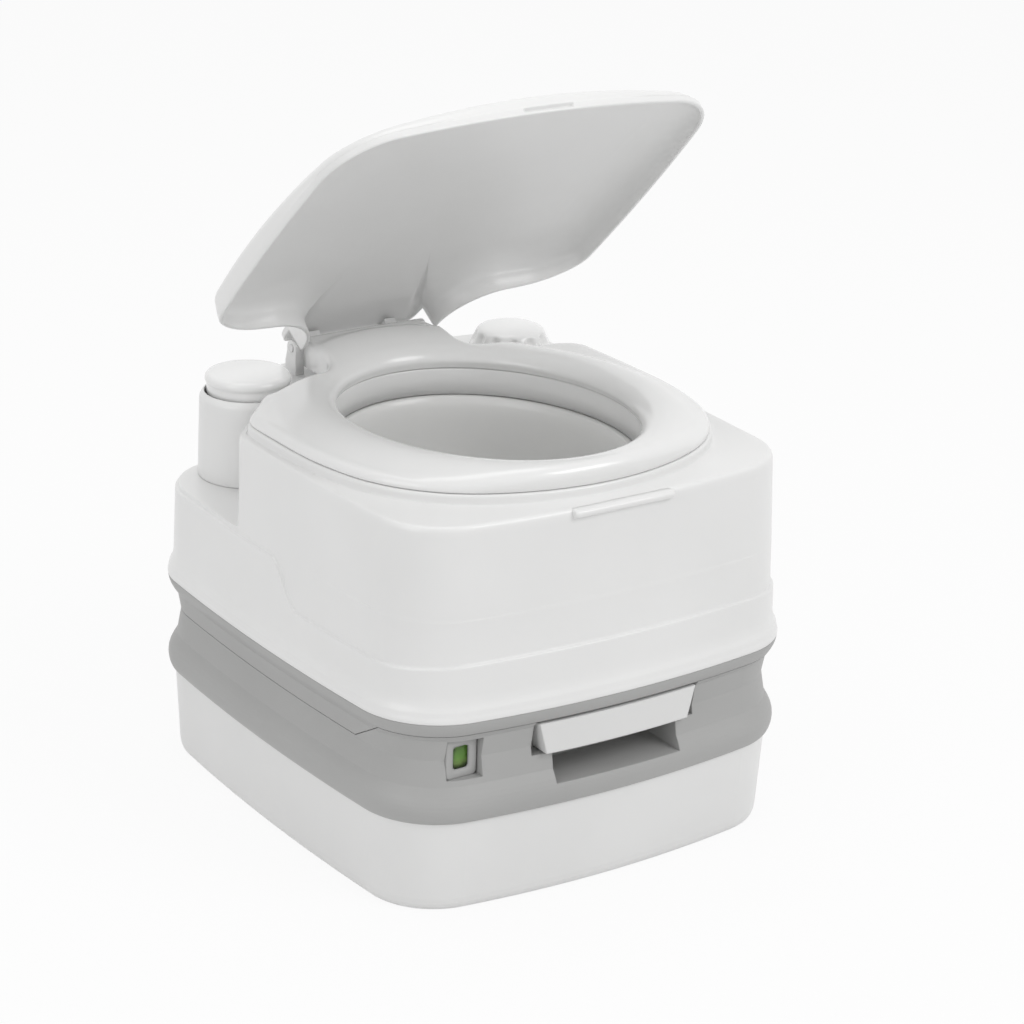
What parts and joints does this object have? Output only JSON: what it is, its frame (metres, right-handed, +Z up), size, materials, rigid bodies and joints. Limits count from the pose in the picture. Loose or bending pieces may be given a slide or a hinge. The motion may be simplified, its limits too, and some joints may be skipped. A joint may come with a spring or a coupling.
{
  "type": "portable toilet",
  "caption": "Portable camping toilet in two stacked halves: white flush unit with bowl, seat, lid and bellows pump on a grey waste tank with slide valve.",
  "frame": {"origin": "centre of the base, on the surface it stands on", "axes": "+Z up, -Y the front with the valve handle and level window, +X to the right of someone facing the front"},
  "size_m": [0.342, 0.3942, 0.5184],
  "materials": {
    "tank_white": "satin white moulded polyethylene",
    "tank_grey": "satin moulded grey polyethylene",
    "shell_white": "semi-gloss white moulded plastic",
    "seat_white": "gloss white moulded plastic",
    "handle_white": "satin white plastic",
    "dark_plastic": "matt dark grey plastic",
    "gauge_green": "green and dark indicator drum",
    "clear": "clear plastic window",
    "rubber_black": "soft black rubber",
    "bellows_white": "flexible white polyethylene",
    "steel": "stainless steel"
  },
  "bodies": {
    "waste_unit": {"tank_bottom": "tank_white", "waste_tank": "tank_grey", "tank_seal": "rubber_black", "lip_seal": "rubber_black", "valve_cover": "dark_plastic", "level_window": "clear", "spout_flange": "dark_plastic", "vent_spring": "steel", "latch_pin": "steel"},
    "valve_slide": {"valve_blade": "dark_plastic", "valve_handle": "handle_white"},
    "level_gauge": {"level_drum": "gauge_green", "level_arm": "dark_plastic", "level_float": "bellows_white"},
    "spout": {"spout_elbow": "tank_grey"},
    "spout_seal": {"spout_cap_seal": "rubber_black"},
    "spout_closure": {"spout_cap": "dark_plastic"},
    "vent": {"vent_button": "handle_white", "vent_seal": "rubber_black"},
    "latch": {"latch_lever": "handle_white"},
    "flush_unit": {"upper_base": "tank_grey", "upper_shell": "shell_white", "front_catch": "shell_white", "bowl": "shell_white", "outlet_seal": "rubber_black", "flush_nozzle": "shell_white", "pump_tower": "shell_white", "pump_bellows": "bellows_white", "pump_valve": "dark_plastic", "suction_tube": "bellows_white", "flush_tube": "bellows_white", "filler_neck": "shell_white", "hinge_bracket_left": "shell_white", "hinge_bracket_right": "shell_white", "hinge_pins": "steel"},
    "pump_top": {"pump_disc": "seat_white"},
    "filler_seal": {"cap_gasket": "rubber_black"},
    "filler_closure": {"filler_cap": "seat_white"},
    "seat_ring": {"seat": "seat_white", "seat_lugs": "seat_white", "seat_buffers": "rubber_black"},
    "cover": {"lid": "seat_white", "lid_lugs": "seat_white"}
  },
  "joints": [
    {"name": "unit_lift", "type": "slide", "parent": "waste_unit", "child": "flush_unit", "axis": [0, 0, 1], "range_m": [0, 0.15]},
    {"name": "valve_pull", "type": "slide", "parent": "waste_unit", "child": "valve_slide", "axis": [0, -1, 0], "range_m": [0, 0.1]},
    {"name": "gauge_swing", "type": "hinge", "parent": "waste_unit", "child": "level_gauge", "pos_m": [-0.1155, -0.154, 0.11], "axis": [1, 0, 0], "range_deg": [0, 40]},
    {"name": "spout_swivel", "type": "hinge", "parent": "waste_unit", "child": "spout", "pos_m": [0.108, 0.138, 0.072], "axis": [0, 0, -1], "range_deg": [0, 135]},
    {"name": "spout_cap_off", "type": "slide", "parent": "spout", "child": "spout_seal", "axis": [-1, 0, 0], "range_m": [0, 0.01]},
    {"name": "spout_cap_turn", "type": "hinge", "parent": "spout_seal", "child": "spout_closure", "pos_m": [0.066, 0.138, 0.072], "axis": [-1, 0, 0], "range_deg": [0, 360]},
    {"name": "vent_press", "type": "slide", "parent": "waste_unit", "child": "vent", "axis": [0, -1, 0], "range_m": [0, 0.005], "stiffness_N_per_m": 600, "springref_m": -0.002, "deforming": ["vent_spring"]},
    {"name": "latch_swing", "type": "hinge", "parent": "waste_unit", "child": "latch", "pos_m": [0, 0.183, 0.084], "axis": [-1, 0, 0], "range_deg": [-20, 40]},
    {"name": "pump_press", "type": "slide", "parent": "flush_unit", "child": "pump_top", "axis": [0, 0, -1], "range_m": [0, 0.022], "stiffness_N_per_m": 700, "springref_m": -0.004, "deforming": ["pump_bellows"]},
    {"name": "filler_cap_off", "type": "slide", "parent": "flush_unit", "child": "filler_seal", "axis": [0, 0, 1], "range_m": [0, 0.04]},
    {"name": "filler_cap_turn", "type": "hinge", "parent": "filler_seal", "child": "filler_closure", "pos_m": [0.121, 0.131, 0.275], "axis": [0, 0, 1], "range_deg": [0, 360]},
    {"name": "seat_hinge", "type": "hinge", "parent": "flush_unit", "child": "seat_ring", "pos_m": [0, 0.1525, 0.2905], "axis": [-1, 0, 0], "range_deg": [0, 38]},
    {"name": "lid_hinge", "type": "hinge", "parent": "flush_unit", "child": "cover", "pos_m": [0, 0.1525, 0.2905], "axis": [-1, 0, 0], "range_deg": [-44.4, 50]}
  ]
}
